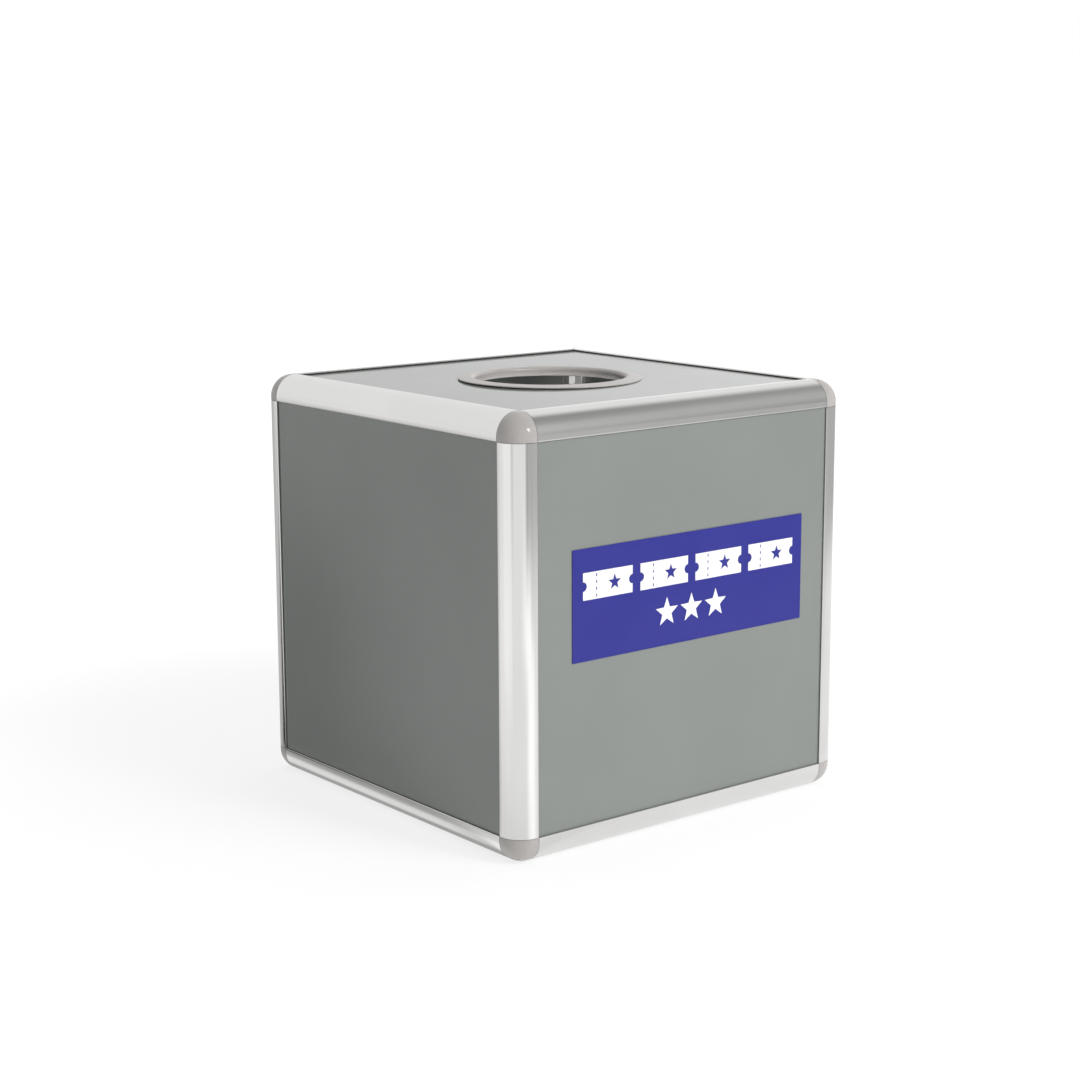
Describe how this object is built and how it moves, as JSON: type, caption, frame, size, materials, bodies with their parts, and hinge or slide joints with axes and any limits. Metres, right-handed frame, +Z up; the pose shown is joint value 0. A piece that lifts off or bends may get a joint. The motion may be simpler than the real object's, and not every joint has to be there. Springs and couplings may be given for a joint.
{
  "type": "raffle box",
  "caption": "Cube-shaped draw box: rounded metal corner-profile frame, slotted grey panels, plain front label and a ringed hand hole in the top.",
  "frame": {"origin": "middle of the underside, on the plane of the bottom rails' flats that the box rests on", "axes": "+Z up towards the hand hole, the labelled front faces -Y, +X to the right when facing the label"},
  "size_m": [0.3, 0.3, 0.3008],
  "materials": {
    "aluminium_profile": "satin silver anodised, fine lengthwise brushing",
    "corner_plastic": "satin warm grey moulded plastic",
    "ring_plastic": "satin light grey moulded plastic",
    "grey_panel": "smooth grey sheet with a soft gloss",
    "label_film": "blue film with a light print"
  },
  "bodies": {
    "root": {"front_panel": "grey_panel", "back_panel": "grey_panel", "left_panel": "grey_panel", "right_panel": "grey_panel", "top_panel": "grey_panel", "bottom_panel": "grey_panel", "post_front_left": "aluminium_profile", "post_front_right": "aluminium_profile", "post_back_left": "aluminium_profile", "post_back_right": "aluminium_profile", "rail_top_front": "aluminium_profile", "rail_top_back": "aluminium_profile", "rail_top_left": "aluminium_profile", "rail_top_right": "aluminium_profile", "rail_bottom_front": "aluminium_profile", "rail_bottom_back": "aluminium_profile", "rail_bottom_left": "aluminium_profile", "rail_bottom_right": "aluminium_profile", "corner_bottom_front_left": "corner_plastic", "corner_bottom_front_right": "corner_plastic", "corner_bottom_back_left": "corner_plastic", "corner_bottom_back_right": "corner_plastic", "corner_top_front_left": "corner_plastic", "corner_top_front_right": "corner_plastic", "corner_top_back_left": "corner_plastic", "corner_top_back_right": "corner_plastic", "hole_ring": "ring_plastic", "hole_clamp_ring": "ring_plastic", "front_label": "label_film"}
  },
  "joints": []
}
